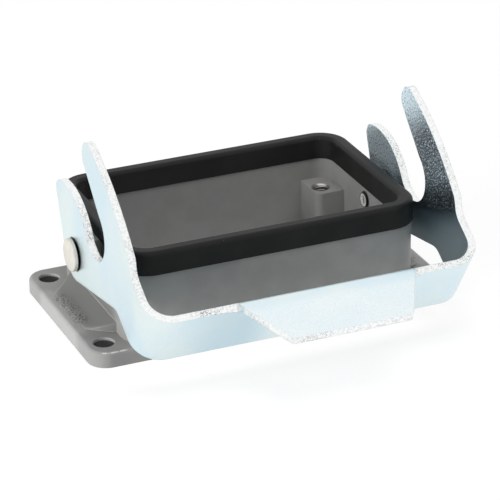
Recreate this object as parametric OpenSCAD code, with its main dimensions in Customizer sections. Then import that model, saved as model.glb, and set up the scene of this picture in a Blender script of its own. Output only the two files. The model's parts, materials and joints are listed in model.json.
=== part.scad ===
// Panel housing of a heavy duty rectangular connector, with one locking lever.
// Millimetres. +X runs along the length, +Y to the back, +Z up from the panel.
// The origin is the middle of the screw pattern, on the underside of the flange.

/* [Flange] */
// Distance from a panel screw to the end of the flange
flange_margin = 3.8; // [3.5:0.1:6]
// Thickness of the flange
flange_t = 3.2; // [2.8:0.1:4.5]
// Radius of the flange's corners in plan
flange_corner_r = 4; // [3:0.1:5]
// Rounding of the flange's upper edge
flange_edge_r = 0.8; // [0.4:0.1:1.2]
// Spacing of the panel screws along the length
screw_pitch_l = 70; // [69:0.5:71]
// Spacing of the panel screws across the width
screw_pitch_w = 32; // [31:0.5:33]
// Diameter of the panel screw holes
screw_hole_d = 4.3; // [4.1:0.1:4.8]

/* [Wall] */
// Length over the outside of the wall
wall_l = 62.3; // [61.5:0.1:63]
// Width over the outside of the wall, and of the flange under it
wall_w = 41.7; // [41:0.1:44]
// Thickness of the wall
wall_t = 2.5; // [2.3:0.1:2.9]
// Outer radius of the wall's corners in plan
wall_corner_r = 6; // [5.5:0.1:6.8]
// Height of the shoulder on which the rim seal sits
shoulder_z = 18; // [17.9:0.1:19.5]
// Height of the tongue that carries the rim seal
tongue_h = 3.9; // [3.2:0.1:4.5]
// Thickness of the tongue
tongue_t = 1.3; // [1.1:0.1:1.5]
// Height of the raised shoulder over the pins, at the two ends
end_shoulder_z = 20.2; // [20:0.1:20.8]
// Width of that raised shoulder
end_shoulder_w = 18; // [14:0.5:24]

/* [Ramps] */
// Width of the ramp at its outer foot, between the two screws of one end
ramp_foot_w = 18; // [16:0.5:19]
// Width of the ramp where it meets the end wall
ramp_root_w = 26; // [22:0.5:28]
// Length of the ramp, outwards from the end wall
ramp_l = 5.4; // [4.5:0.1:5.8]
// Rise of the ramp over the flange
ramp_h = 2.2; // [1.5:0.1:2.8]
// Radius of the ramp's hollow face
ramp_r = 16; // [12:0.5:30]

/* [Insert posts] */
// Spacing of the tapped holes along the length
post_pitch_l = 49.4; // [49:0.1:50]
// Spacing of the tapped holes across the width
post_pitch_w = 27; // [26.6:0.1:27.4]
// Height of the posts' upper face over the panel
post_z = 13.4; // [11:0.1:15]
// Material round a tapped hole, from its centre to the post's free faces
post_margin_l = 2.3; // [2.1:0.1:2.8]
// The same, across the width
post_margin_w = 3.3; // [2.6:0.1:3.6]
// Rounding of the post's free edge
post_edge_r = 1.5; // [0.8:0.1:1.8]
// Core diameter of the tapped holes
tap_d = 3.3; // [3.1:0.1:3.5]
// Chamfer at the mouth of the tapped holes
tap_chamfer = 0.3; // [0.2:0.05:0.4]

/* [Rim seal] */
// How far the seal stands proud of the wall on each side
seal_proud = 0.3; // [0.2:0.05:0.4]
// Height of the seal over its shoulder
seal_h = 4.85; // [4.6:0.05:5.4]
// Rounding of the seal's upper edges
seal_edge_r = 0.9; // [0.5:0.1:1.1]

/* [Panel gasket] */
// Width of the gasket in its groove
gasket_w = 1.3; // [1:0.1:1.5]
// Depth of the gasket's groove in the underside
gasket_t = 1.2; // [0.8:0.1:1.6]

/* [Pivot] */
// Height of the lever's axis over the panel
pivot_z = 15.3; // [15.2:0.1:16.2]
// Diameter of the pin's shoulder, on which the lever turns
shoulder_d = 4.5; // [4:0.1:5]
// Diameter of the pin's tail, fixed in the end wall
tail_d = 3.1; // [2.8:0.1:3.5]
// Diameter of the pin's head
pin_head_d = 6.7; // [6:0.1:7.5]
// Thickness of the pin's head
pin_head_t = 0.8; // [0.6:0.1:1.2]
// Chamfer round the pin's head
pin_chamfer = 0.15; // [0.1:0.05:0.3]
// How far the riveted end stands into the housing
rivet_proud = 0.5; // [0.4:0.1:0.7]
// Diameter of the hollow that riveting leaves in that end
rivet_hollow_d = 2; // [1.6:0.1:2.4]
// Width of the cast boss round each pin
boss_d = 11.2; // [9:0.1:11.4]
// Radial running clearance between the shoulder and the lever
running_gap = 0.05; // [0.02:0.01:0.09]
// Axial gap between the boss and the lever's arm
inner_gap = 0.3; // [0.2:0.05:0.5]
// Axial gap between the lever's arm and the pin's head
head_gap = 0.4; // [0.2:0.05:0.6]

/* [Lever] */
// Width over the outside of the lever's two arms
lever_w = 69.6; // [69:0.1:70.4]
// Thickness of the lever's sheet
sheet_t = 1.5; // [1.3:0.1:1.7]
// Outer radius of the bends between the arms and the bar
bend_r = 5.9; // [5:0.1:6.5]
// Tilt of the open lever from the position in which its bar stands upright
open_tilt = 32.5; // [30:0.5:35]
// Distance from the axis to the front of the bar
bar_reach = 33.3; // [32:0.1:35]
// Height of the bar's lower edge over the axis, with the bar upright
bar_low = 10.9; // [10.6:0.1:11.2]
// Width of the bar's sheet
bar_h = 13.2; // [12.8:0.1:14]
// Radius of the arm round the pin
hub_r = 5.6; // [5.2:0.1:6]
// Radius of the closed end of the hook slot
slot_r = 5.6; // [5.2:0.1:5.8]
// Height of the slot's centre over the axis, with the bar upright
slot_up = 14.8; // [14.6:0.1:15.2]
// Distance of the slot's centre in front of the axis
slot_fore = 5.2; // [4.8:0.1:5.6]
// Angle at which the slot widens towards its mouth
slot_flare = 13.5; // [11:0.5:15]
// Height of the long finger's back over the axis, with the bar upright
finger_top = 29.4; // [29:0.1:30]
// Radius of the long finger's back
finger_r = 55; // [45:1:75]
// Distance of the finger's highest point in front of the axis
finger_mid = 2; // [0:0.1:4]
// How far the blank of the long finger reaches behind the axis
finger_back = 7.7; // [7.2:0.1:9]
// Radius of the short finger's upper edge
catch_r = 13.5; // [13:0.1:14.5]
// Height of the short finger over the axis, with the bar upright
catch_top = 11.3; // [11:0.1:11.6]
// Distance of the short finger's highest point behind the axis
catch_mid = 3.6; // [3:0.1:4]
// Angle of the short finger's straight back edge
catch_lean = 39; // [38:0.5:42]
// Distance in front of the axis at which the arm widens into the bar
heel_fore = 20.6; // [20:0.1:21.4]
// Distance in front of the axis at which the long finger runs out into the bar
shoulder_fore = 22; // [21.4:0.1:22.6]
// Rounding of the arm's outward corners
arm_round = 2.6; // [2.2:0.1:2.7]
// Rounding of the arm's inward corners
arm_fillet = 4; // [3:0.1:4.2]

/* [Handle flap] */
// Width of the flap where it leaves the bar
flap_root_w = 36; // [32:0.5:40]
// Width of the flap's outer edge
flap_tip_w = 24.6; // [20:0.1:28]
// Length of the flat of the flap
flap_l = 11.4; // [8:0.1:13]
// Angle through which the flap is bent out of the bar
flap_bend = 72.5; // [65:0.5:85]
// How far the flap stands to the right of the lever's middle
flap_offset = 1.3; // [0:0.1:3]
// Radius at which the bar's upper edge sweeps into the flap
flap_flare_r = 2.2; // [1.5:0.1:2.6]
// Inner radius of the flap's bend
flap_bend_r = 1; // [0.8:0.1:1.5]
// Rounding of the flap's outer corners
flap_corner_r = 1.2; // [0.6:0.1:2]

/* [Hidden] */

$fn = 64;
eps = 0.02;
cut = 1;                                     // how far a cutting tool runs past a face

casting_grey = [0.47, 0.48, 0.48];
rubber_black = [0.13, 0.13, 0.14];
zinc_blue = [0.80, 0.88, 0.91];
pin_steel = [0.80, 0.79, 0.76];

flange_l = screw_pitch_l + 2 * flange_margin;
wall_inner_l = wall_l - 2 * wall_t;
wall_inner_w = wall_w - 2 * wall_t;
wall_inner_r = wall_corner_r - wall_t;
rebate = (wall_t - tongue_t) / 2;            // step on each side of the tongue
seal_r = wall_corner_r + seal_proud;
seal_t = wall_t + 2 * seal_proud;
gasket_inset = (wall_t - gasket_w) / 2;

arm_outer_x = lever_w / 2;
arm_inner_x = arm_outer_x - sheet_t;
boss_x = arm_inner_x - inner_gap;            // bearing face of the boss
head_x = arm_outer_x + head_gap;             // underside of the pin's head
lever_bore_r = shoulder_d / 2 + running_gap;

bar_top = bar_low + bar_h;
flap_bend_z = bar_top - 0.6;                 // where the flap's bend leaves the bar
slot_roof = slot_up + slot_r;                // lower edge of the long finger

// ---------------------------------------------------------------- helpers

// Rectangle with rounded corners, centred on the origin.
module rounded_rectangle(l, w, r) {
    union() {
        square([l - 2 * r, w], center = true);
        square([l, w - 2 * r], center = true);
        for (x = [-1, 1], y = [-1, 1])
            translate([x * (l / 2 - r), y * (w / 2 - r)]) circle(r);
    }
}

// Carries a section round a rounded rectangle. The section is drawn with its
// first coordinate measured outwards from the corner's centre.
module swept_round(l, w, r) {
    side_l = l - 2 * r;
    side_w = w - 2 * r;
    for (turn = [0, 180]) rotate([0, 0, turn]) {
        translate([side_l / 2, -side_w / 2, 0])
            rotate([90, 0, 180]) mirror([1, 0, 0])
                linear_extrude(side_w) children();
        translate([side_l / 2, side_w / 2, 0])
            rotate([90, 0, 90]) mirror([0, 0, 1])
                linear_extrude(side_l) children();
        translate([side_l / 2, side_w / 2, 0])
            rotate_extrude(angle = 90) children();
        translate([-side_l / 2, side_w / 2, 0])
            rotate([0, 0, 90]) rotate_extrude(angle = 90) children();
    }
}

// Point where a line from p touches a circle of radius r round the origin.
function tangent_point(p, r, side) =
    let (a = atan2(p[1], p[0]) + side * acos(r / norm(p)))
    [r * cos(a), r * sin(a)];

// Rounds the outward corners of a flat shape.
module rounded(r) {
    offset(r = r) offset(delta = -r) children();
}

// Rounds the inward corners of a flat shape.
module filleted(r) {
    offset(r = -r) offset(delta = r) children();
}

// Moves its children from the lever's own frame to the open position.
module at_open_position() {
    translate([0, 0, pivot_z]) rotate([open_tilt, 0, 0]) children();
}

// ---------------------------------------------------------------- housing

// Flange with its upper edge rounded all the way round.
module flange_plate() {
    core_l = flange_l - 2 * flange_corner_r;
    core_w = wall_w - 2 * flange_corner_r;
    swept_round(flange_l, wall_w, flange_corner_r) union() {
        square([flange_corner_r - flange_edge_r, flange_t]);
        square([flange_corner_r, flange_t - flange_edge_r]);
        translate([flange_corner_r - flange_edge_r, flange_t - flange_edge_r])
            circle(flange_edge_r);
    }
    translate([-core_l / 2, -core_w / 2, 0]) cube([core_l, core_w, flange_t]);
}

// Wall and the narrower tongue over its shoulder.
module wall_ring() {
    difference() {
        linear_extrude(shoulder_z) rounded_rectangle(wall_l, wall_w, wall_corner_r);
        translate([0, 0, -cut]) linear_extrude(shoulder_z + 2 * cut)
            rounded_rectangle(wall_inner_l, wall_inner_w, wall_inner_r);
    }
    translate([0, 0, shoulder_z - cut]) linear_extrude(tongue_h + cut) difference() {
        rounded_rectangle(wall_l - 2 * rebate, wall_w - 2 * rebate, wall_corner_r - rebate);
        rounded_rectangle(wall_inner_l + 2 * rebate, wall_inner_w + 2 * rebate,
                          wall_inner_r + rebate);
    }
    for (end = [0, 180]) rotate([0, 0, end]) end_shoulder(0, cut);
}

// Raised piece of the shoulder at one end. It runs outwards and down by the
// given amounts past the wall's face and the shoulder.
module end_shoulder(outwards, down) {
    tongue_x = wall_l / 2 - rebate - tongue_t / 2;
    translate([tongue_x, -end_shoulder_w / 2, shoulder_z - down])
        cube([wall_l / 2 + outwards - tongue_x, end_shoulder_w,
              end_shoulder_z - shoulder_z + down]);
}

// Hollow ramp that stiffens the foot of one end wall. Its ends are cut at a slant.
module end_ramp() {
    chord = norm([ramp_l, ramp_h]);
    sag = sqrt(ramp_r * ramp_r - chord * chord / 4);
    centre = [ramp_l / 2 + sag * ramp_h / chord, flange_t + ramp_h / 2 + sag * ramp_l / chord];
    foot_x = wall_l / 2 + ramp_l;
    intersection() {
        translate([wall_l / 2, ramp_root_w / 2, 0])
            rotate([90, 0, 0]) linear_extrude(ramp_root_w) difference() {
                translate([-cut, flange_t - cut]) square([ramp_l + cut, ramp_h + cut]);
                translate(centre) circle(ramp_r, $fn = 256);
            }
        linear_extrude(flange_t + 2 * ramp_h)
            polygon([[wall_l / 2 - 2 * cut, -ramp_root_w / 2], [wall_l / 2, -ramp_root_w / 2],
                     [foot_x, -ramp_foot_w / 2], [foot_x + cut, -ramp_foot_w / 2],
                     [foot_x + cut, ramp_foot_w / 2], [foot_x, ramp_foot_w / 2],
                     [wall_l / 2, ramp_root_w / 2], [wall_l / 2 - 2 * cut, ramp_root_w / 2]]);
    }
}

// Bearing boss round one pin, round below and flat on top, level with the shoulder.
module pivot_boss() {
    boss_l = boss_x - wall_l / 2 + cut;
    translate([wall_l / 2 - cut, 0, pivot_z]) {
        rotate([0, 90, 0]) cylinder(d = boss_d, h = boss_l);
        translate([0, -boss_d / 2, 0]) cube([boss_l, boss_d, end_shoulder_z - pivot_z]);
    }
}

// Post in one corner of the housing, with the free edge rounded.
module insert_post() {
    x0 = post_pitch_l / 2 - post_margin_l;
    y0 = post_pitch_w / 2 - post_margin_w;
    x1 = wall_inner_l / 2 + wall_t / 2;
    y1 = wall_inner_w / 2 + wall_t / 2;
    intersection() {
        linear_extrude(post_z) union() {
            translate([x0 + post_edge_r, y0]) square([x1 - x0 - post_edge_r, y1 - y0]);
            translate([x0, y0 + post_edge_r]) square([x1 - x0, y1 - y0 - post_edge_r]);
            translate([x0 + post_edge_r, y0 + post_edge_r]) circle(post_edge_r);
        }
        translate([0, 0, -cut]) linear_extrude(post_z + 2 * cut)
            rounded_rectangle(wall_l - wall_t, wall_w - wall_t, wall_corner_r - wall_t / 2);
    }
}

// Hole through a post, chamfered at its mouth.
module tapped_hole() {
    translate([0, 0, -cut]) cylinder(d = tap_d, h = post_z + 2 * cut);
    translate([0, 0, post_z - tap_chamfer])
        cylinder(d1 = tap_d, d2 = tap_d + 4 * tap_chamfer, h = 2 * tap_chamfer);
}

// One aluminium casting, machined afterwards.
module housing() {
    color(casting_grey) difference() {
        union() {
            difference() {
                flange_plate();
                translate([0, 0, -cut]) linear_extrude(flange_t + 2 * cut)
                    rounded_rectangle(wall_inner_l, wall_inner_w, wall_inner_r);
            }
            wall_ring();
            for (end = [0, 180]) rotate([0, 0, end]) {
                end_ramp();
                pivot_boss();
            }
            for (x = [0, 1], y = [0, 1]) mirror([x, 0, 0]) mirror([0, y, 0]) insert_post();
        }
        for (x = [-1, 1], y = [-1, 1]) {
            translate([x * screw_pitch_l / 2, y * screw_pitch_w / 2, -cut])
                cylinder(d = screw_hole_d, h = flange_t + 2 * cut);
            translate([x * post_pitch_l / 2, y * post_pitch_w / 2, 0]) tapped_hole();
        }
        for (x = [-1, 1]) translate([x * wall_inner_l / 2, 0, pivot_z])
            rotate([0, x * 90, 0]) translate([0, 0, -cut])
                cylinder(d = tail_d, h = boss_x + 2 * cut - wall_inner_l / 2);
        gasket_ring(gasket_t, cut);
    }
}

// ---------------------------------------------------------------- seals

// Ring under the wall. It reaches up by t and down by extra.
module gasket_ring(t, extra) {
    translate([0, 0, -extra]) linear_extrude(t + extra) difference() {
        rounded_rectangle(wall_l - 2 * gasket_inset, wall_w - 2 * gasket_inset,
                          wall_corner_r - gasket_inset);
        rounded_rectangle(wall_inner_l + 2 * gasket_inset, wall_inner_w + 2 * gasket_inset,
                          wall_inner_r + gasket_inset);
    }
}

module panel_gasket() {
    color(rubber_black) gasket_ring(gasket_t, 0);
}

// Section of the rim seal: a cap with a skirt on each side of the tongue.
module seal_section() {
    inner = seal_r - seal_t;
    difference() {
        union() {
            translate([inner, 0]) square([seal_t, seal_h - seal_edge_r]);
            translate([inner + seal_edge_r, 0])
                square([seal_t - 2 * seal_edge_r, seal_h]);
            for (r = [inner + seal_edge_r, seal_r - seal_edge_r])
                translate([r, seal_h - seal_edge_r]) circle(seal_edge_r);
        }
        translate([wall_corner_r - rebate - tongue_t, -cut])
            square([tongue_t, tongue_h + cut]);
    }
}

module rim_seal() {
    color(rubber_black) difference() {
        translate([0, 0, shoulder_z])
            swept_round(wall_l + 2 * seal_proud, wall_w + 2 * seal_proud, seal_r)
                seal_section();
        for (end = [0, 180]) rotate([0, 0, end]) end_shoulder(seal_proud + cut, cut);
    }
}

// ---------------------------------------------------------------- lever

// Slot that takes the peg of the mating hood, open to the back.
module hook_slot() {
    mouth = slot_fore + bar_reach;
    translate([-slot_fore, slot_up]) circle(slot_r, $fn = 96);
    translate([-slot_fore, 0]) polygon([[0, slot_up - slot_r], [mouth, slot_up - slot_r],
        [mouth, slot_roof + mouth * tan(slot_flare)], [0, slot_roof]]);
}

// Short finger under the slot: an arc on top, a straight back tangent to the hub.
module short_finger() {
    foot = hub_r * [sin(catch_lean), -cos(catch_lean)];
    along = [cos(catch_lean), sin(catch_lean)];
    intersection() {
        translate([catch_mid, catch_top - catch_r]) circle(catch_r, $fn = 180);
        polygon([[-slot_fore, 0], [0, 0], foot, foot + 2 * catch_r * along,
                 [-slot_fore, 2 * catch_r]]);
    }
}

// Long finger over the slot, running forwards into the bar. Its back is an arc.
module long_finger() {
    heel = [-heel_fore, bar_low];
    crest = finger_top - bar_top;
    union() {
        polygon([[-2 * bar_reach, bar_low], heel, tangent_point(heel, hub_r, 1), [0, 0],
                 [0, bar_top], [-2 * bar_reach, bar_top]]);
        intersection() {
            translate([-finger_mid, finger_top - finger_r]) circle(finger_r, $fn = 360);
            polygon([[-shoulder_fore, bar_low], [0, bar_low], [0, slot_up],
                     [finger_back, slot_up], [finger_back, 2 * finger_top],
                     [-shoulder_fore, 2 * finger_top],
                     [crest - shoulder_fore, finger_top], [-shoulder_fore, bar_top]]);
        }
    }
}

// Side view of the lever with the bar upright, the axis at the origin.
module side_view() {
    filleted(arm_fillet) rounded(arm_round) union() {
        circle(hub_r);
        short_finger();
        difference() {
            long_finger();
            hook_slot();
        }
    }
}

// Sheet bent into two arms and the bar between them, trimmed to the side view.
module bent_sheet() {
    depth = 3 * bar_reach;                   // the bends behind the arms are trimmed off
    intersection() {
        translate([0, depth / 2 - bar_reach, -bar_reach])
            linear_extrude(3 * bar_reach) difference() {
                rounded_rectangle(lever_w, depth, bend_r);
                rounded_rectangle(lever_w - 2 * sheet_t, depth - 2 * sheet_t, bend_r - sheet_t);
            }
        translate([-lever_w / 2 - cut, 0, 0])
            rotate([90, 0, 90]) linear_extrude(lever_w + 2 * cut) side_view();
    }
}

// What the flap's bend replaces in the bar.
module flap_notch() {
    translate([flap_offset - flap_root_w / 2, -bar_reach - cut, flap_bend_z])
        cube([flap_root_w, sheet_t + 2 * cut, bar_h]);
}

// Outline of the flap's flat, its root on the Y axis.
module flap_outline() {
    tip_y = flap_tip_w / 2;
    rounded(flap_corner_r) polygon([[-cut, -flap_root_w / 2], [0, -flap_root_w / 2],
        [flap_l, -tip_y], [flap_l, tip_y], [0, flap_root_w / 2], [-cut, flap_root_w / 2]]);
}

// Front view of the flap's root, which flares into the bar's upper edge.
module flap_root_outline() {
    low = flap_bend_z - eps;
    high = flap_bend_z + flap_bend_r + sheet_t + cut;
    translate([-flap_root_w / 2, low]) square([flap_root_w, high - low]);
    for (side = [0, 1]) mirror([side, 0]) difference() {
        translate([flap_root_w / 2 - eps, low])
            square([flap_flare_r + eps, bar_top + flap_flare_r - low]);
        translate([flap_root_w / 2 + flap_flare_r, bar_top + flap_flare_r])
            circle(flap_flare_r);
    }
}

// Flap bent outwards from the upper edge of the bar.
module handle_flap() {
    axis_y = -bar_reach - flap_bend_r;
    bend_l = flap_root_w + 2 * flap_flare_r;
    intersection() {
        translate([-bend_l / 2, axis_y, flap_bend_z]) rotate([90, 0, 90])
            rotate_extrude(angle = flap_bend)
                translate([flap_bend_r, 0]) square([sheet_t, bend_l]);
        translate([0, sheet_t - bar_reach + cut, 0]) rotate([90, 0, 0])
            linear_extrude(bar_reach) flap_root_outline();
    }
    translate([0, axis_y, flap_bend_z]) rotate([90, 0, 90]) rotate([0, 0, flap_bend])
        translate([flap_bend_r, 0, 0]) rotate([90, 0, 90]) linear_extrude(sheet_t)
            intersection() {
                flap_outline();
                translate([-eps, -flap_root_w]) square(2 * flap_root_w);
            }
}

// One punched and bent sheet.
module locking_lever() {
    color(zinc_blue) at_open_position() {
        difference() {
            bent_sheet();
            flap_notch();
            translate([-lever_w / 2 - cut, 0, 0]) rotate([0, 90, 0])
                cylinder(r = lever_bore_r, h = lever_w + 2 * cut);
        }
        translate([flap_offset, 0, 0]) handle_flap();
    }
}

// ---------------------------------------------------------------- pins

// Shouldered rivet on the side of positive X, its tail riveted over inside.
module pivot_pin() {
    tail_x = wall_inner_l / 2 - rivet_proud;
    punch_r = 0.8 * rivet_hollow_d;
    punch_up = sqrt(punch_r * punch_r - rivet_hollow_d * rivet_hollow_d / 4);
    translate([0, 0, pivot_z]) rotate([0, 90, 0]) difference() {
        union() {
            translate([0, 0, tail_x]) cylinder(d = tail_d, h = boss_x - tail_x + eps);
            translate([0, 0, boss_x]) cylinder(d = shoulder_d, h = head_x - boss_x + eps);
            translate([0, 0, head_x]) cylinder(d = pin_head_d, h = pin_head_t - pin_chamfer);
            translate([0, 0, head_x + pin_head_t - pin_chamfer])
                cylinder(d1 = pin_head_d, d2 = pin_head_d - 2 * pin_chamfer, h = pin_chamfer);
        }
        translate([0, 0, tail_x - punch_up]) sphere(punch_r);
    }
}

module right_pivot_pin() {
    color(pin_steel) pivot_pin();
}

module left_pivot_pin() {
    color(pin_steel) mirror([1, 0, 0]) pivot_pin();
}

housing();
rim_seal();
panel_gasket();
locking_lever();
left_pivot_pin();
right_pivot_pin();
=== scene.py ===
"""Finishes, threads, light and camera for a panel housing with one locking lever."""

import json
import logging
import math
from dataclasses import dataclass
from enum import Enum

import bpy
from mathutils import Matrix, Vector


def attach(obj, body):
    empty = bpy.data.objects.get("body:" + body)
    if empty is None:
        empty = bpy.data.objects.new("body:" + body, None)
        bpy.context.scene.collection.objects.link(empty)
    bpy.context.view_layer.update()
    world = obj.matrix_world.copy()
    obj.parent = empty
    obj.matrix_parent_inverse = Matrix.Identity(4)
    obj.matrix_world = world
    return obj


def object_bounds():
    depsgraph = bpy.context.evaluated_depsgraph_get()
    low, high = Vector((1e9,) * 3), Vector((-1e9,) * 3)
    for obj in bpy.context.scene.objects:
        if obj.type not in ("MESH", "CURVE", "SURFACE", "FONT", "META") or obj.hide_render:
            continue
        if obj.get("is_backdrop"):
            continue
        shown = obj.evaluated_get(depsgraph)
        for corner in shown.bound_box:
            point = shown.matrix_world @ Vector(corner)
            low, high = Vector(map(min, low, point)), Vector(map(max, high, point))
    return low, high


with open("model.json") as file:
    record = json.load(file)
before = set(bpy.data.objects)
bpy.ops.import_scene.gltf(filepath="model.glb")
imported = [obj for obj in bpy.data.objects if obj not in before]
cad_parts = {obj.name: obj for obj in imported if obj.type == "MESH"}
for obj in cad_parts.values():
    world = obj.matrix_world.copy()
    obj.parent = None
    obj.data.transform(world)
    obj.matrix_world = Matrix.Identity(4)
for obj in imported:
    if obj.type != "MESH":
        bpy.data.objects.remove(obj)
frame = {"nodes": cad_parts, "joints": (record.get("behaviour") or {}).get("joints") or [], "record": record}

MM = 0.001
LOG = logging.getLogger("scene")

Triple = tuple[float, float, float]
Colour = Triple
Range = tuple[float, float]  # where a mask is 0, then where it is 1
Socket = bpy.types.NodeSocket
Sockets = bpy.types.bpy_prop_collection
Value = float | Socket
Axes = tuple[Socket, Socket, Socket]


class Body(Enum):
    """The rigid bodies that pieces ride on."""

    BASE = "base"
    LEVER = "lever"


class Kind(Enum):
    """The types of a node group's sockets."""

    FLOAT = "NodeSocketFloat"
    VECTOR = "NodeSocketVector"
    GEOMETRY = "NodeSocketGeometry"


def grey(level: float) -> Colour:
    """Returns a neutral linear colour of the given level."""
    return (level, level, level)


# -------------------- what the record says


@dataclass(frozen=True)
class Pattern:
    """Four holes, one in each quarter, with the height of their mouths."""

    x: float
    y: float
    radius: float
    top: float


def pattern(name: str) -> Pattern:
    """Returns the holes of the mount of that name."""
    mount = next(m for m in frame["record"]["mounts"] if m["name"] == name)
    dims = mount["dims"]
    return Pattern(dims["spacing_x_mm"] * MM / 2, dims["spacing_y_mm"] * MM / 2,
                   dims["hole_r_mm"] * MM, mount["pos_m"][2])


def hinge_z() -> float:
    """Returns the height of the lever's hinge."""
    hinge = next(j for j in frame["joints"] if j["child"] == Body.LEVER.value)
    return hinge["pos_m"][2]


# -------------------- shader graphs


@dataclass(frozen=True)
class Blotches:
    """An uneven mask: noise cells per metre, octaves, and the noise that gives 0 and 1."""

    cells: float
    detail: float
    low: float
    high: float
    stretch: Triple | None = None


@dataclass(frozen=True)
class Texture:
    """Settings of the grain group, with the depth and the share of its bump."""

    size: float
    pits: float
    depth: float = 0.0
    strength: float = 0.5
    crowding: float = 0.3


class Graph:
    """A node tree with short calls for the nodes that the finishes share."""

    def __init__(self, tree: bpy.types.NodeTree) -> None:
        """Wraps a tree.

        Args:
            tree: the material's or the group's node tree.
        """
        self.tree = tree

    def node(self, kind: str, inputs: dict[str | int, object] | None = None,
             **settings: object) -> bpy.types.Node:
        """Adds a node.

        Args:
            kind: the node's Blender type name.
            inputs: what its inputs are fed with, by name or number.
            **settings: attributes to set on it.

        Returns:
            The new node.
        """
        made = self.tree.nodes.new(kind)
        for name, value in settings.items():
            setattr(made, name, value)
        for key, value in (inputs or {}).items():
            self.feed(made.inputs[key], value)
        return made

    def feed(self, socket: Socket, value: object) -> None:
        """Links or sets an input.

        Args:
            socket: the input.
            value: an output to link, or a constant.
        """
        if isinstance(value, bpy.types.NodeSocket):
            self.tree.links.new(value, socket)
        else:
            socket.default_value = value

    def math(self, operation: str, *values: Value, clamp: bool = False) -> Socket:
        """Adds a Math node.

        Args:
            operation: its operation.
            *values: its inputs, in order.
            clamp: whether the result is held within 0 to 1.

        Returns:
            Its output.
        """
        made = self.node("ShaderNodeMath", operation=operation, use_clamp=clamp)
        for socket, value in zip(made.inputs, values):
            self.feed(socket, value)
        return made.outputs[0]

    def product(self, *values: Value) -> Socket:
        """Multiplies values and returns the result."""
        result = values[0]
        for value in values[1:]:
            result = self.math("MULTIPLY", result, value)
        return result

    def most(self, *values: Value) -> Socket:
        """Returns the largest of the values."""
        result = values[0]
        for value in values[1:]:
            result = self.math("MAXIMUM", result, value)
        return result

    def minus(self, first: Value, second: Value) -> Socket:
        """Returns the first value less the second."""
        return self.math("SUBTRACT", first, second)

    def size(self, value: Value) -> Socket:
        """Returns a value without its sign."""
        return self.math("ABSOLUTE", value)

    def above(self, value: Value, limit: float) -> Socket:
        """Returns 1 where a value is larger than a limit."""
        return self.math("GREATER_THAN", value, limit)

    def below(self, value: Value, limit: float) -> Socket:
        """Returns 1 where a value is smaller than a limit."""
        return self.math("LESS_THAN", value, limit)

    def line(self, value: Value, start: float, slope: float) -> Socket:
        """Returns a start plus a value times a slope."""
        return self.math("ADD", start, self.math("MULTIPLY", value, slope))

    def ramp(self, value: Value, low: float, high: float) -> Socket:
        """Adds a smooth step from 0 at low to 1 at high.

        Args:
            value: what is mapped.
            low: the value that gives 0, which may be the larger one.
            high: the value that gives 1.

        Returns:
            The mapped value.
        """
        flipped = low > high
        made = self.node("ShaderNodeMapRange", {
            "Value": value, "From Min": min(low, high), "From Max": max(low, high),
            "To Min": float(flipped), "To Max": float(not flipped),
        }, interpolation_type="SMOOTHSTEP")
        return made.outputs["Result"]

    def mix(self, mask: Value, first: Socket | Colour, second: Socket | Colour) -> Socket:
        """Mixes two colours.

        Args:
            mask: 0 for the first colour, 1 for the second.
            first: the colour below.
            second: the colour above.

        Returns:
            The mixed colour.
        """
        first, second = (colour if isinstance(colour, bpy.types.NodeSocket) else (*colour, 1.0)
                         for colour in (first, second))
        made = self.node("ShaderNodeMix", {0: mask, 6: first, 7: second}, data_type="RGBA")
        return made.outputs[2]

    def layers(self, colour: Socket, *rows: tuple[Value, Value, Socket | Colour]) -> Socket:
        """Lays colours over one another.

        Args:
            colour: the lowest.
            *rows: for each colour above, its mask, its share and the colour.

        Returns:
            The colour of all together.
        """
        for mask, share, over in rows:
            colour = self.mix(self.product(mask, share), colour, over)
        return colour

    def between(self, mask: Value, first: Value, second: Value) -> Socket:
        """Mixes two plain values by a mask and returns the result."""
        made = self.node("ShaderNodeMix", {0: mask, 2: first, 3: second}, data_type="FLOAT")
        return made.outputs[0]

    def noise(self, where: Socket, scale: float, detail: float,
              stretch: Triple | None = None) -> Socket:
        """Adds a noise pattern.

        Args:
            where: the coordinates, in metres.
            scale: cells per metre.
            detail: its octaves.
            stretch: a factor for the coordinates along each axis.

        Returns:
            A value about 0.5.
        """
        if stretch is not None:
            where = self.node("ShaderNodeMapping", {"Vector": where, "Scale": stretch}).outputs[0]
        made = self.node("ShaderNodeTexNoise", {"Vector": where, "Scale": scale, "Detail": detail})
        return made.outputs[0]

    def blotches(self, where: Socket, given: Blotches) -> Socket:
        """Adds an uneven mask and returns it."""
        value = self.noise(where, given.cells, given.detail, given.stretch)
        return self.ramp(value, given.low, given.high)

    def axes(self, where: Socket) -> Axes:
        """Splits a vector into its three parts and returns them."""
        parts = self.node("ShaderNodeSeparateXYZ", {0: where}).outputs
        return parts[0], parts[1], parts[2]

    def radius(self, first: Value, second: Value) -> Socket:
        """Returns the length of a two-part vector."""
        squares = [self.math("MULTIPLY", part, part) for part in (first, second)]
        return self.math("SQRT", self.math("ADD", *squares))

    def bump(self, height: Value, distance: float, strength: float,
             normal: Socket | None = None) -> Socket:
        """Turns a height into a normal.

        Args:
            height: 0 to 1.
            distance: what 1 stands for, in metres.
            strength: share of the effect.
            normal: the normal that it is laid over.

        Returns:
            The bumped normal.
        """
        made = self.node("ShaderNodeBump",
                         {"Distance": distance, "Strength": strength, "Height": height})
        if normal is not None:
            self.feed(made.inputs["Normal"], normal)
        return made.outputs[0]


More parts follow.
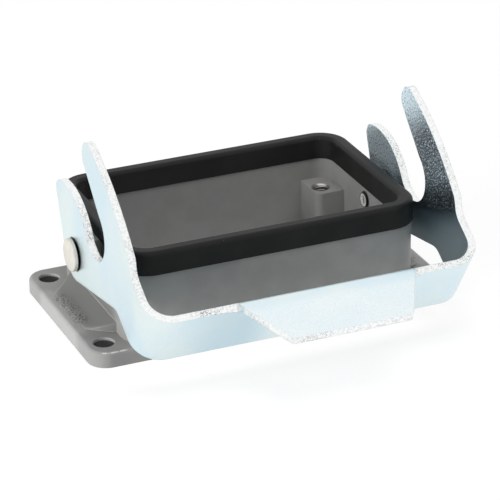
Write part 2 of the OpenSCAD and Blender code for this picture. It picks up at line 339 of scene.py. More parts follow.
class Group:
    """A shader node group with named inputs and outputs, built once."""

    name = "group"
    inputs: dict[str, tuple[Kind, float]] = {}
    outputs: dict[str, Kind] = {}

    def __init__(self) -> None:
        """Builds the group's tree."""
        self.tree = bpy.data.node_groups.new(self.name, "ShaderNodeTree")
        for name, (kind, value) in self.inputs.items():
            made = self.tree.interface.new_socket(name, in_out="INPUT", socket_type=kind.value)
            if kind is Kind.FLOAT:
                made.default_value = value
        for name, kind in self.outputs.items():
            self.tree.interface.new_socket(name, in_out="OUTPUT", socket_type=kind.value)
        graph = Graph(self.tree)
        given = graph.node("NodeGroupInput").outputs
        result = graph.node("NodeGroupOutput").inputs
        for name, value in self.build(graph, given).items():
            graph.feed(result[name], value)

    def build(self, graph: Graph, given: Sockets) -> dict[str, Socket]:
        """Makes the group's nodes and returns its outputs by name."""
        raise NotImplementedError

    def use(self, graph: Graph, **values: Value) -> Sockets:
        """Places the group in a material.

        Args:
            graph: the material's graph.
            **values: the inputs, their names in lower case.

        Returns:
            The group's outputs.
        """
        made = graph.node("ShaderNodeGroup", node_tree=self.tree)
        for name, value in values.items():
            graph.feed(made.inputs[name.capitalize()], value)
        return made.outputs


class SoftEdges(Group):
    """Rounds sharp edges in the shading and marks where they are."""

    name = "soft_edges"
    inputs = {"Sharpness": (Kind.FLOAT, 0.15)}
    outputs = {"Normal": Kind.VECTOR, "Edge": Kind.FLOAT}
    edge_radius = 0.3 * MM
    samples = 6

    def build(self, graph: Graph, given: Sockets) -> dict[str, Socket]:
        """Makes the group's nodes and returns its outputs by name."""
        bevel = graph.node("ShaderNodeBevel", {"Radius": self.edge_radius}, samples=self.samples)
        plain = graph.node("ShaderNodeNewGeometry").outputs["Normal"]
        turned = graph.node("ShaderNodeVectorMath", {0: bevel.outputs[0], 1: plain},
                            operation="DOT_PRODUCT")
        bent = graph.minus(1.0, turned.outputs["Value"])
        share = graph.math("DIVIDE", bent, given["Sharpness"], clamp=True)
        return {"Normal": bevel.outputs[0], "Edge": share}


class Grain(Group):
    """Fine surface grain: a height, a tone and scattered pits."""

    name = "grain"
    inputs = {"Place": (Kind.VECTOR, 0.0), "Size": (Kind.FLOAT, 0.4 * MM),
              "Pits": (Kind.FLOAT, 0.3), "Crowding": (Kind.FLOAT, 0.3)}
    outputs = {"Height": Kind.FLOAT, "Tone": Kind.FLOAT, "Pit": Kind.FLOAT}
    broad_cells = 0.07
    speck_cells = 1.9
    pit_limit = 0.80
    pit_reach = 0.25
    pit_slope = 14.0
    pit_depth = 0.6

    def build(self, graph: Graph, given: Sockets) -> dict[str, Socket]:
        """Makes the group's nodes and returns its outputs by name."""
        scale = graph.math("DIVIDE", 1.0, given["Size"])
        cells = graph.node("ShaderNodeVectorMath", {0: given["Place"], "Scale": scale},
                           operation="SCALE").outputs[0]
        fine = graph.noise(cells, 1.0, 4.0)
        broad = graph.noise(cells, self.broad_cells, 3.0)
        specks = graph.noise(cells, self.speck_cells, 1.0)
        crowd = graph.product(graph.minus(broad, 0.5), given["Crowding"])
        limit = graph.line(given["Pits"], self.pit_limit, -self.pit_reach)
        over = graph.minus(graph.math("ADD", specks, crowd), limit)
        pit = graph.math("MULTIPLY", over, self.pit_slope, clamp=True)
        height = graph.minus(fine, graph.product(pit, self.pit_depth))
        return {"Height": height, "Tone": broad, "Pit": pit}


class Scuffs(Group):
    """Thin, faint lines in changing directions, as handling leaves on plate."""

    name = "scuffs"
    inputs = {"Place": (Kind.VECTOR, 0.0)}
    outputs = {"Mask": Kind.FLOAT}
    along = Blotches(900.0, 2.0, 0.66, 0.74, (1.0, 0.06, 1.0))
    across = Blotches(800.0, 2.0, 0.66, 0.74, (0.8, 1.0, 0.05))
    patch = Blotches(90.0, 1.0, 0.45, 0.62)

    def build(self, graph: Graph, given: Sockets) -> dict[str, Socket]:
        """Makes the group's nodes and returns its outputs by name."""
        along, across, patch = (graph.blotches(given["Place"], each)
                                for each in (self.along, self.across, self.patch))
        return {"Mask": graph.product(graph.most(along, across), patch)}


@dataclass(frozen=True)
class Groups:
    """The shader groups that the finishes share."""

    edges: SoftEdges
    grain: Grain
    scuffs: Scuffs


# -------------------- finishes


@dataclass(frozen=True)
class Finish:
    """A material: a Principled surface whose inputs the subclass works out."""

    name: str
    groups: Groups

    def material(self) -> bpy.types.Material:
        """Builds the material and returns it."""
        made = bpy.data.materials.new(self.name)
        made.use_nodes = True
        made.node_tree.nodes.clear()
        graph = Graph(made.node_tree)
        surface = graph.node("ShaderNodeBsdfPrincipled")
        graph.node("ShaderNodeOutputMaterial", {"Surface": surface.outputs[0]})
        self.build(graph, surface.inputs, graph.node("ShaderNodeTexCoord"))
        return made

    def build(self, graph: Graph, surface: Sockets, coords: bpy.types.Node) -> None:
        """Feeds the surface's inputs.

        Args:
            graph: the material's graph.
            surface: the inputs of its Principled BSDF.
            coords: its Texture Coordinate node.
        """
        raise NotImplementedError

    def textured(self, graph: Graph, place: Socket, given: Texture) -> Sockets:
        """Places the grain group with a texture's settings and returns its outputs."""
        return self.groups.grain.use(graph, place=place, size=given.size, pits=given.pits,
                                     crowding=given.crowding)

    def from_hinge(self, graph: Graph, depth: Socket, height: Socket) -> Socket:
        """Returns the distance from the lever's hinge of a place at that depth and height."""
        return graph.radius(depth, graph.minus(height, hinge_z()))


@dataclass(frozen=True)
class Spot:
    """A place on the casting: how far out and to the side of its middle, and how high."""

    place: Socket
    out: Socket
    side: Socket
    up: Socket


@dataclass(frozen=True)
class CastingFinish(Finish):
    """Grey powder coat on a die casting, with pale nicks and machined threads, and painted shade and
    highlights.
    """

    posts: Pattern
    screws: Pattern
    coat: Colour = (0.272, 0.272, 0.266)
    coat_dark: Colour = (0.246, 0.246, 0.240)
    # painted shade on the ramps and on the wall's ends behind them, as the lever shades them
    shade_grey: Colour = (0.105, 0.105, 0.100)
    # painted highlight on the edges at the ends, along the ramps' crests and on the screw holes' upper walls
    highlight_grey: Colour = (0.46, 0.46, 0.45)
    coat_nick: Colour = (0.60, 0.60, 0.58)
    # painted highlight on the strip outside each ramp's foot
    strip_highlight: Colour = (0.42, 0.42, 0.41)
    # painted shade deep in the screw holes and round each pin's inner end
    hollow_shade: Colour = grey(0.035)
    pitted: Colour = grey(0.02)
    bare: Colour = (0.62, 0.60, 0.57)
    post_low: float = 9.0 * MM
    post_lip: float = 0.4 * MM
    screw_lip: float = 0.06 * MM
    lip_blur: float = 0.08 * MM
    mouth_depth: Range = (2.75 * MM, 2.45 * MM)
    foot_x: float = 35.9 * MM
    foot_half: float = 9.0 * MM
    foot_fade: Range = (2.2 * MM, 0.6 * MM)
    foot_y: Range = (9.0 * MM, 5.4 * MM)
    side_y: float = 19.9 * MM
    flange_z: float = 3.3 * MM
    nick_slope: float = 0.80
    nick_fade: Range = (0.16, 0.04)
    nick_blotches: Blotches = Blotches(1100.0, 4.0, 0.34, 0.50)
    strip_x: Range = (36.0 * MM, 37.0 * MM)
    strip_y: Range = (12.5 * MM, 9.0 * MM)
    rivet_shade_r: Range = (2.00 * MM, 1.70 * MM)
    bore_x: float = 29.5 * MM
    wall_x: float = 31.2 * MM
    wall_skin: float = 0.4 * MM
    wall_fade: float = 6.0 * MM
    wall_dip: float = 1.0 * MM
    ramp_top: float = 5.6 * MM
    hair: float = 0.1 * MM
    ramp_x: Range = (37.3 * MM, 35.1 * MM)
    ramp_blur: Range = (0.8 * MM, -1.2 * MM)
    crest_y: float = 9.3 * MM
    end_x: float = 31.7 * MM
    # how sharp an edge must be to take the painted highlight at the ends, and the patches it breaks into
    highlight_edge: Range = (0.30, 0.80)
    highlight_blotches: Blotches = Blotches(500.0, 3.0, 0.36, 0.60)
    edge: float = 0.12
    tone: Range = (0.35, 0.68)
    fine: Texture = Texture(0.35 * MM, 0.05, 0.02 * MM, 0.6)
    coarse: Texture = Texture(0.70 * MM, 0.95, 0.16 * MM, 1.0, 0.1)
    rough: float = 0.40
    rough_span: float = 0.16
    bare_rough: float = 0.32

    def holes(self, graph: Graph, spot: Spot, given: Pattern, lip: float) -> Socket:
        """Finds the holes of a pattern.

        Args:
            graph: the material's graph.
            spot: the place.
            given: the pattern.
            lip: how far the mask reaches past the holes' radius.

        Returns:
            The mask of the holes.
        """
        off = graph.radius(graph.minus(spot.out, given.x), graph.minus(spot.side, given.y))
        rim = given.radius + lip
        return graph.ramp(off, rim, rim - self.lip_blur)

    def threads(self, graph: Graph, spot: Spot) -> Socket:
        """Returns the mask of the machined holes in the posts."""
        return graph.product(self.holes(graph, spot, self.posts, self.post_lip),
                             graph.above(spot.up, self.post_low))

    def foot(self, graph: Graph, spot: Spot) -> Socket:
        """Returns the mask of the coarse patch along the foot of each ramp."""
        near = graph.ramp(graph.size(graph.minus(spot.out, self.foot_x)), *self.foot_fade)
        return graph.product(near, graph.ramp(spot.side, *self.foot_y))

    def nicks(self, graph: Graph, spot: Spot, normal: Socket) -> Socket:
        """Returns the mask of the nicks along the rounding of the flange's long edges.

        Args:
            graph: the material's graph.
            spot: the place.
            normal: the object's own normal there.
        """
        _, _, up = graph.axes(normal)
        line = graph.ramp(graph.size(graph.minus(up, self.nick_slope)), *self.nick_fade)
        return graph.product(line, graph.blotches(spot.place, self.nick_blotches),
                             graph.above(spot.side, self.side_y),
                             graph.below(spot.up, self.flange_z))

    def strip(self, graph: Graph, spot: Spot) -> Socket:
        """Returns the mask of the strip outside each ramp's foot, where a paler tone is painted as a
        highlight.
        """
        return graph.product(graph.ramp(spot.out, *self.strip_x), graph.ramp(spot.side, *self.strip_y),
                             graph.below(spot.up, self.flange_z))

    def rivet_shade(self, graph: Graph, spot: Spot) -> Socket:
        """Returns the mask of the painted shade: a dark ring round each pin's inner end."""
        ring = graph.ramp(self.from_hinge(graph, spot.side, spot.up), *self.rivet_shade_r)
        return graph.product(ring, graph.below(spot.out, self.bore_x))

    def painted_lighting(self, graph: Graph, spot: Spot, edge: Socket) -> Socket:
        """Returns the mask of the painted highlight along the edges at the ends and the ramps' crests.

        Args:
            graph: the material's graph.
            spot: the place.
            edge: how sharp an edge is near.
        """
        on_crest = graph.product(graph.above(spot.out, self.wall_x - self.wall_skin),
                                 graph.below(spot.side, self.crest_y))
        at_end = graph.most(graph.above(spot.out, self.end_x), on_crest)
        low = graph.below(spot.up, self.ramp_top + self.hair)
        return graph.product(graph.ramp(edge, *self.highlight_edge), at_end, low,
                             graph.blotches(spot.place, self.highlight_blotches))

    def end_wall_shade(self, graph: Graph, spot: Spot) -> Socket:
        """Returns the mask of the painted shade on the wall's ends behind the ramps."""
        return graph.product(graph.ramp(spot.up, hinge_z() - self.wall_dip, self.ramp_top),
                             graph.ramp(spot.side, self.foot_half + self.wall_fade, self.foot_half),
                             graph.above(spot.out, self.wall_x - self.wall_skin),
                             graph.above(spot.up, self.ramp_top - self.hair))

    def ramp_shade(self, graph: Graph, spot: Spot) -> Socket:
        """Returns the mask of the painted shade on the ramps."""
        flare = graph.minus(spot.side, graph.minus(self.foot_x, spot.out))
        blur = [self.foot_half + part for part in self.ramp_blur]
        return graph.product(graph.ramp(spot.out, *self.ramp_x), graph.above(spot.out, self.wall_x),
                             graph.ramp(flare, *blur), graph.below(spot.up, self.ramp_top))

    def build(self, graph: Graph, surface: Sockets, coords: bpy.types.Node) -> None:
        """Feeds the surface's inputs."""
        place = coords.outputs["Object"]
        x, y, z = graph.axes(place)
        spot = Spot(place, graph.size(x), graph.size(y), z)
        edges = self.groups.edges.use(graph, sharpness=self.edge)
        grain = self.textured(graph, place, self.fine)
        coarse = self.textured(graph, place, self.coarse)
        foot = self.foot(graph, spot)
        drilled = self.holes(graph, spot, self.screws, self.screw_lip)
        deep = graph.product(drilled, graph.ramp(z, *self.mouth_depth))
        bare = self.threads(graph, spot)
        colour = graph.layers(
            graph.mix(graph.ramp(grain["Tone"], *self.tone), self.coat_dark, self.coat),
            # painted shade on the ramps and on the wall's ends behind them
            (graph.most(self.ramp_shade(graph, spot), self.end_wall_shade(graph, spot)), 0.75, self.shade_grey),
            # painted highlight on the strips outside the ramps' feet
            (self.strip(graph, spot), 0.5, self.strip_highlight),
            # painted highlight along the edges at the ends and the ramps' crests
            (self.painted_lighting(graph, spot, edges["Edge"]), 0.5, self.highlight_grey),
            # painted highlight on the screw holes' upper walls
            (graph.minus(drilled, deep), 0.7, self.highlight_grey),
            # painted shade deep in the screw holes and round each pin's inner end
            (graph.most(deep, self.rivet_shade(graph, spot)), 1.0, self.hollow_shade),
            (graph.product(coarse["Pit"], foot), 0.9, self.pitted),
            (self.nicks(graph, spot, coords.outputs["Normal"]), 1.0, self.coat_nick),
            (bare, 1.0, self.bare),
        )
        graph.feed(surface["Base Color"], colour)
        graph.feed(surface["Metallic"], bare)
        rough = graph.line(grain["Tone"], self.rough, self.rough_span)
        graph.feed(surface["Roughness"], graph.between(bare, rough, self.bare_rough))
        fine = graph.bump(grain["Height"], self.fine.depth, self.fine.strength, edges["Normal"])
        patch = graph.product(coarse["Height"], foot)
        graph.feed(surface["Normal"],
                   graph.bump(patch, self.coarse.depth, self.coarse.strength, fine))


@dataclass(frozen=True)
class RubberFinish(Finish):
    """Black moulded rubber with a faint bloom and a little dust."""

    rubber: Colour = (0.0075, 0.0075, 0.0072)
    bloom: Colour = (0.012, 0.012, 0.0115)
    bloom_tone: Range = (0.40, 0.75)
    dust: Colour = (0.16, 0.16, 0.15)
    dust_blotches: Blotches = Blotches(2600.0, 1.0, 0.77, 0.82)
    dust_share: float = 0.5
    fine: Texture = Texture(0.5 * MM, 0.2, 0.012 * MM)
    rough: float = 0.40
    rough_span: float = 0.2
    gloss: float = 0.22

    def build(self, graph: Graph, surface: Sockets, coords: bpy.types.Node) -> None:
        """Feeds the surface's inputs."""
        place = coords.outputs["Object"]
        grain = self.textured(graph, place, self.fine)
        colour = graph.mix(graph.ramp(grain["Tone"], *self.bloom_tone), self.rubber, self.bloom)
        specks = graph.blotches(place, self.dust_blotches)
        dusty = graph.mix(graph.product(specks, self.dust_share), colour, self.dust)
        graph.feed(surface["Base Color"], dusty)
        graph.feed(surface["Roughness"], graph.line(grain["Tone"], self.rough, self.rough_span))
        surface["Specular IOR Level"].default_value = self.gloss
        graph.feed(surface["Normal"], graph.bump(grain["Height"], self.fine.depth, self.fine.strength))


@dataclass(frozen=True)
class ZincFinish(Finish):
    """Blue-white zinc plate, with pitted, paler sheared edges, and painted reflections, sheen, glints and
    shade.
    """

    plate: Colour = (0.77, 0.86, 0.86)
    plate_blue: Colour = (0.67, 0.82, 0.88)
    # painted reflection: darker on the arms' inner faces ahead of the hinge, bluer on the short fingers'
    # inner faces
    inner_reflection: Colour = (0.34, 0.48, 0.58)
    short_reflection: Colour = (0.58, 0.80, 0.94)
    # painted shade on the bar's face beside the flap; also the colour of the flap's mottle
    tarnish_and_shade: Colour = (0.42, 0.60, 0.70)
    # painted sheen: a paler plate on the flap and the bar's front
    front: Colour = (0.90, 0.96, 0.98)
    # painted glints: light specks on the arms' inner faces, a sparse speckle elsewhere
    glint_colour: Colour = (0.80, 0.86, 0.90)
    # painted shade on the arms' inner faces: dark specks, and a band at their lower end
    shade_blue: Colour = (0.10, 0.15, 0.19)
    sheared: Colour = (0.97, 0.98, 0.97)
    sheared_dull: Colour = (0.74, 0.77, 0.77)
    pitted: Colour = (0.20, 0.21, 0.21)
    # painted contact shadow under and round each pin's head
    painted_lighting: Colour = grey(0.02)
    tilt: float = math.radians(32.5)
    bend: float = math.radians(72.5)
    head_r: Range = (3.70 * MM, 3.35 * MM)
    outer_x: float = 34.7 * MM
    arm_x: float = 33.0 * MM
    arm_edge: Range = (0.75, 0.45)
    arm_inside: Range = (-0.5, -0.8)
    arm_ahead: Range = (2.0 * MM, -4.0 * MM)
    bar_y: Range = (-27.0 * MM, -33.0 * MM)
    bar_facing: Range = (-0.7, -0.95)
    bar_top: Range = (0.5, 0.8)
    bar_foot: Range = (-0.6, -0.85)
    flap_y: float = -34.0 * MM
    flap_fade: Range = (-33.4 * MM, -36.5 * MM)
    flap_side: Range = (0.25, 0.5)
    flap_reach: float = 2.5 * MM
    flap_x: float = 1.3 * MM
    flap_half: float = 18.3 * MM
    tip_y: float = -41.0 * MM
    # where the painted shade beside the flap fades out on each side
    flap_shade_left: Range = (-1.8, -0.95)
    flap_shade_right: Range = (-0.4, -0.8)
    level_slope: float = 0.35
    level_speckled: Range = (12.8 * MM, 14.4 * MM)
    level_paler: Range = (13.0 * MM, 9.0 * MM)
    level_shaded: Range = (22.0 * MM, 15.5 * MM)
    paler_share: float = 0.4
    tint: Blotches = Blotches(105.0, 1.0, 0.30, 0.70, (1.0, 1.0, 0.45))
    # the painted glints, and the painted shade specks between them
    glints: Blotches = Blotches(3300.0, 1.0, 0.56, 0.66)
    shade_specks: Blotches = Blotches(3300.0, 1.0, 0.50, 0.36)
    mottle: Blotches = Blotches(3800.0, 1.0, 0.48, 0.70)
    patches: Blotches = Blotches(140.0, 1.0, 0.46, 0.62)
    dulled: Blotches = Blotches(1900.0, 3.0, 0.42, 0.66)
    patch_dull: float = 0.55
    patch_rough: float = 0.65
    # shares of the painted sheen on the flap and on the bar's front
    flap_sheen: float = 0.55
    front_sheen: float = 0.15
    # how dense the painted glints are away from the speckled part, and how much thinner in the shaded band
    glint_least: float = 0.10
    glint_thin: float = 0.55
    edge: float = 0.15
    fine: Texture = Texture(0.45 * MM, 0.0, 0.006 * MM)
    coarse: Texture = Texture(0.42 * MM, 0.72, 0.05 * MM, 0.7, 0.7)
    sparkle: Texture = Texture(0.30 * MM, 0.0, 0.030 * MM, 0.8)
    glint_dull: float = 0.6
    short_dull: float = 0.13
    rough: float = 0.27
    rough_span: float = 0.12
    rough_scuff: float = 0.08
    sheared_rough: float = 0.45

    def upright(self, graph: Graph, vector: Socket, centre: Vector) -> Axes:
        """Turns a vector into the lever's own frame.

        Args:
            graph: the material's graph.
            vector: a place or a direction.
            centre: the point that it turns about.

        Returns:
            Its three parts, with the bar upright.
        """
        turned = graph.node("ShaderNodeVectorRotate",
                            {"Vector": vector, "Center": centre, "Angle": -self.tilt},
                            rotation_type="X_AXIS")
        return graph.axes(turned.outputs[0])

    def head_shadow(self, graph: Graph, place: Socket) -> Socket:
        """Returns the mask of the painted contact shadow under and round each pin's head."""
        x, y, z = graph.axes(place)
        ring = graph.ramp(self.from_hinge(graph, y, z), *self.head_r)
        return graph.product(ring, graph.above(graph.size(x), self.outer_x))

    def torn_edges(self, graph: Graph, place: Axes, normal: Axes) -> Socket:
        """Finds the sheared edges.

        Args:
            graph: the material's graph.
            place: the upright place.
            normal: the upright normal.

        Returns:
            Their mask.
        """
        x, y, _ = place
        across, front, up = normal
        sideways = graph.size(across)
        from_flap = graph.size(graph.minus(x, self.flap_x))
        top_edge = graph.product(graph.ramp(up, *self.bar_top), graph.above(from_flap, self.flap_half))
        bar_edge = graph.product(graph.most(top_edge, graph.ramp(up, *self.bar_foot)),
                                 graph.minus(1.0, graph.below(y, self.flap_y)))
        flap_side = graph.product(graph.ramp(sideways, *self.flap_side),
                                  graph.below(from_flap, self.flap_half + self.flap_reach))
        outwards = graph.minus(graph.product(up, math.cos(self.bend)),
                               graph.product(front, math.sin(self.bend)))
        flap_tip = graph.product(graph.ramp(outwards, *self.bar_top), graph.below(y, self.tip_y))
        return graph.between(graph.above(graph.size(x), self.arm_x),
                             graph.most(bar_edge, flap_side, flap_tip),
                             graph.ramp(sideways, *self.arm_edge))

    def zones(self, graph: Graph, coords: bpy.types.Node) -> dict[str, Socket]:
        """Finds the zones of the lever.

        Args:
            graph: the material's graph.
            coords: its Texture Coordinate node.

        Returns:
            The masks of the arms' inner faces ahead of the hinge and behind it, where a reflection
            is painted, of the painted shade on the bar beside the flap, of the sheared edges, of the
            flap and of the bar with its flap, where a sheen is painted, of the painted glints and
            shade specks on the arms' inner faces and of the painted shade band at their lower end.
        """
        place = self.upright(graph, coords.outputs["Object"], Vector((0, 0, hinge_z())))
        normal = self.upright(graph, coords.outputs["Normal"], Vector())
        x, y, _ = place
        across, front, _ = normal
        _, depth, height = graph.axes(coords.outputs["Object"])
        level = graph.math("ADD", height, graph.product(depth, self.level_slope))
        inwards = graph.product(across, graph.math("SIGN", x))
        inner = graph.product(graph.ramp(inwards, *self.arm_inside),
                              graph.above(graph.size(x), self.arm_x))
        ahead = graph.ramp(y, *self.arm_ahead)
        in_front = graph.ramp(y, *self.bar_y)
        beside_flap = [graph.ramp(x, *(self.flap_half * part for part in side))
                       for side in (self.flap_shade_left, self.flap_shade_right)]
        speckled = graph.product(inner, graph.ramp(level, *self.level_speckled))
        paler = graph.line(graph.ramp(level, *self.level_paler), 1.0, -self.paler_share)
        return {
            "Arm": graph.product(inner, ahead, paler),
            "Short": graph.product(inner, graph.minus(1.0, ahead)),
            "FlapShade": graph.product(graph.ramp(front, *self.bar_facing), in_front, *beside_flap),
            "Sheared": self.torn_edges(graph, place, normal),
            "Flap": graph.ramp(y, *self.flap_fade),
            "Front": in_front,
            "Speckled": speckled,
            "Shaded": graph.product(speckled, graph.ramp(level, *self.level_shaded)),
        }

    def build(self, graph: Graph, surface: Sockets, coords: bpy.types.Node) -> None:
        """Feeds the surface's inputs."""
        place = coords.outputs["Object"]
        zones = self.zones(graph, coords)
        sheared = zones["Sheared"]
        edges = self.groups.edges.use(graph, sharpness=self.edge)
        grain, coarse, sparkle = (self.textured(graph, place, each)
                                  for each in (self.fine, self.coarse, self.sparkle))
        scuffs = self.groups.scuffs.use(graph, place=place)
        tint, specks, shade_specks, mottle, patchy, dulled = (
            graph.blotches(place, each) for each in
            (self.tint, self.glints, self.shade_specks, self.mottle, self.patches, self.dulled))
        # painted glints: dense on the speckled part of the arms' inner faces, thinner in the shaded band,
        # sparse elsewhere
        density = graph.minus(graph.most(zones["Speckled"], self.glint_least),
                              graph.product(zones["Shaded"], self.glint_thin))
        glints = graph.product(specks, density)
        dull_share = graph.line(patchy, 1 - self.patch_dull, self.patch_dull)
        torn = graph.mix(graph.product(dulled, dull_share), self.sheared, self.sheared_dull)
        rough_edge = graph.product(sheared, graph.line(patchy, 1 - self.patch_rough, self.patch_rough))
        # painted sheen on the flap and the bar's front
        sheen = graph.math("ADD", graph.product(zones["Flap"], self.flap_sheen),
                           graph.product(zones["Front"], self.front_sheen))
        colour = graph.layers(
            graph.mix(tint, self.plate_blue, self.plate),
            (sheen, 1.0, self.front),
            # painted shade on the bar's face beside the flap
            (zones["FlapShade"], 0.5, self.tarnish_and_shade),
            # painted reflection on the arms' inner faces, lighter lower down, and on the short fingers
            (zones["Arm"], 0.8, self.inner_reflection),
            (zones["Short"], 0.5, self.short_reflection),
            # painted shade: dark specks and a band at the lower end of the arms' inner faces
            (graph.product(shade_specks, zones["Speckled"]), 0.8, self.shade_blue),
            (zones["Shaded"], 0.75, self.shade_blue),
            # painted glints
            (glints, 1.0, self.glint_colour),
            (graph.product(mottle, zones["Flap"]), 0.22, self.tarnish_and_shade),
            (sheared, 0.95, torn),
            (graph.product(coarse["Pit"], rough_edge), 0.8, self.pitted),
            # painted contact shadow under and round each pin's head
            (self.head_shadow(graph, place), 1.0, self.painted_lighting),
        )
        graph.feed(surface["Base Color"], colour)
        dull = graph.most(graph.product(glints, self.glint_dull),
                          graph.product(zones["Short"], self.short_dull))
        graph.feed(surface["Metallic"], graph.minus(1.0, dull))
        worn = graph.minus(graph.line(grain["Tone"], self.rough, self.rough_span),
                           graph.product(scuffs["Mask"], self.rough_scuff))
        graph.feed(surface["Roughness"], graph.between(sheared, worn, self.sheared_rough))
        normal = edges["Normal"]
        for height, given in ((grain["Height"], self.fine), (sparkle["Height"], self.sparkle),
                              (graph.product(coarse["Height"], rough_edge), self.coarse)):
            normal = graph.bump(height, given.depth, given.strength, normal)
        graph.feed(surface["Normal"], normal)


@dataclass(frozen=True)
class PinFinish(Finish):
    """Plain turned steel, slightly warm, with faint rings and small dark marks, and a painted highlight ring
    and painted shade.
    """

    steel: Colour = (0.80, 0.78, 0.72)
    stained: Colour = (0.64, 0.61, 0.55)
    stain_tone: Range = (0.45, 0.75)
    marked: Colour = grey(0.12)
    # painted highlight: the bright ring on each riveted end
    ring_highlight: Colour = grey(0.95)
    # painted shade on the shank between the wall's inside and the head, and in the hollow and round the rim
    # of each riveted end
    dark: Colour = grey(0.03)
    metallic: float = 0.8
    ring_pitch: float = 0.22 * MM
    ring_depth: float = 0.004 * MM
    inner_x: float = 29.5 * MM
    head_x: float = 35.2 * MM
    boss_r: Range = (0.15 * MM, 0.35 * MM)
    dimple_r: Range = (1.10 * MM, 0.95 * MM)
    ring_highlight_r: Range = (0.95 * MM, 1.15 * MM)
    rim_r: Range = (1.30 * MM, 1.45 * MM)
    ragged: Blotches = Blotches(1900.0, 1.0, 0.46, 0.58)
    ragged_share: float = 0.8
    edge: float = 0.15
    fine: Texture = Texture(0.45 * MM, 0.25, 0.012 * MM)
    hammer_depth: float = 0.25 * MM
    rough: float = 0.40
    rough_span: float = 0.12

    def build(self, graph: Graph, surface: Sockets, coords: bpy.types.Node) -> None:
        """Feeds the surface's inputs."""
        place = coords.outputs["Object"]
        x, y, z = graph.axes(place)
        out = self.from_hinge(graph, y, z)
        away = graph.size(x)
        riveted = graph.below(away, self.inner_x)
        # painted shade on the shank between the wall's inside and the head
        shank_shade = graph.product(graph.below(away, self.head_x), graph.above(away, self.inner_x))
        # the hollow and the rim of each riveted end, shaped by the bump and painted as shade
        dimple = graph.product(graph.blotches(place, self.ragged), self.ragged_share,
                               graph.ramp(out, *self.boss_r), graph.ramp(out, *self.dimple_r))
        sunk = graph.product(graph.most(dimple, graph.ramp(out, *self.rim_r)), riveted)
        edges = self.groups.edges.use(graph, sharpness=self.edge)
        grain = self.textured(graph, place, self.fine)
        colour = graph.layers(
            graph.mix(graph.ramp(grain["Tone"], *self.stain_tone), self.steel, self.stained),
            (grain["Pit"], 0.45, self.marked),
            # painted highlight ring on each riveted end
            (graph.ramp(out, *self.ring_highlight_r), riveted, self.ring_highlight),
            # painted shade on the shank and on each riveted end's hollow and rim
            (graph.most(shank_shade, sunk), 1.0, self.dark),
        )
        graph.feed(surface["Base Color"], colour)
        surface["Metallic"].default_value = self.metallic
        graph.feed(surface["Roughness"], graph.line(grain["Tone"], self.rough, self.rough_span))
        rings = graph.math("SINE", graph.product(out, 2 * math.pi / self.ring_pitch))
        turned = graph.bump(rings, self.ring_depth, 0.5, edges["Normal"])
        grainy = graph.bump(grain["Height"], self.fine.depth, self.fine.strength, turned)
        hammered = graph.minus(graph.product(grain["Height"], riveted), sunk)
        graph.feed(surface["Normal"], graph.bump(hammered, self.hammer_depth, 1.0, grainy))


@dataclass(frozen=True)
class ThreadFinish(Finish):
    """Cut aluminium of the threads."""

    metal: Colour = (0.60, 0.58, 0.55)
    dull: float = 0.8
    fine: Texture = Texture(0.3 * MM, 0.1)
    rough: float = 0.26
    rough_span: float = 0.1

    def build(self, graph: Graph, surface: Sockets, coords: bpy.types.Node) -> None:
        """Feeds the surface's inputs."""
        grain = self.textured(graph, coords.outputs["Object"], self.fine)
        dull = tuple(self.dull * part for part in self.metal)
        graph.feed(surface["Base Color"], graph.mix(grain["Tone"], dull, self.metal))
        surface["Metallic"].default_value = 1.0
        graph.feed(surface["Roughness"], graph.line(grain["Tone"], self.rough, self.rough_span))


# -------------------- pieces


def dress(node: str, material: bpy.types.Material) -> None:
    """Gives a CAD node its finish.

    Args:
        node: the node's name.
        material: the finish.
    """
    piece = frame["nodes"][node]
    if not piece.material_slots:
        piece.data.materials.append(material)
    for held in piece.material_slots:
        held.link = "OBJECT"
        held.material = material
    LOG.info("%s: %s, %d faces", node, material.name, len(piece.data.polygons))


